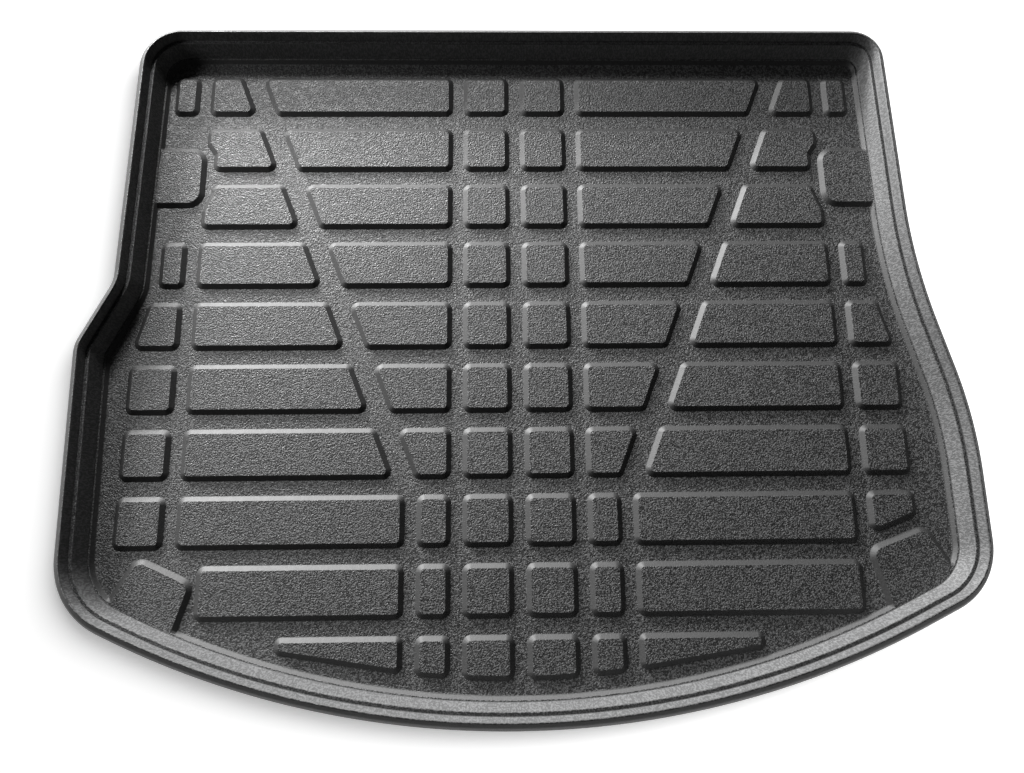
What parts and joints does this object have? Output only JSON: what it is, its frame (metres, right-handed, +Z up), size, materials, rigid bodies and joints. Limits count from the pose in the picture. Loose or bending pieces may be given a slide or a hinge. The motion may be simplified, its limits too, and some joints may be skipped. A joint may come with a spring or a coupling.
{
  "type": "car boot liner",
  "caption": "Shallow one-piece formed plastic tray that lies in a car's boot, with a raised rim and a floor of hollow raised blocks in rows.",
  "frame": {"origin": "middle of the part's bounding box, on the underside of the floor", "axes": "+X across the car, to the right seen from the bowed edge at the tailgate; +Y towards the seats; +Z up"},
  "size_m": [1.0452, 0.8446, 0.0389],
  "materials": {
    "black_plastic": "black, moulded fine grain with a low sheen"
  },
  "bodies": {
    "root": {"boot_liner": "black_plastic"}
  },
  "joints": []
}
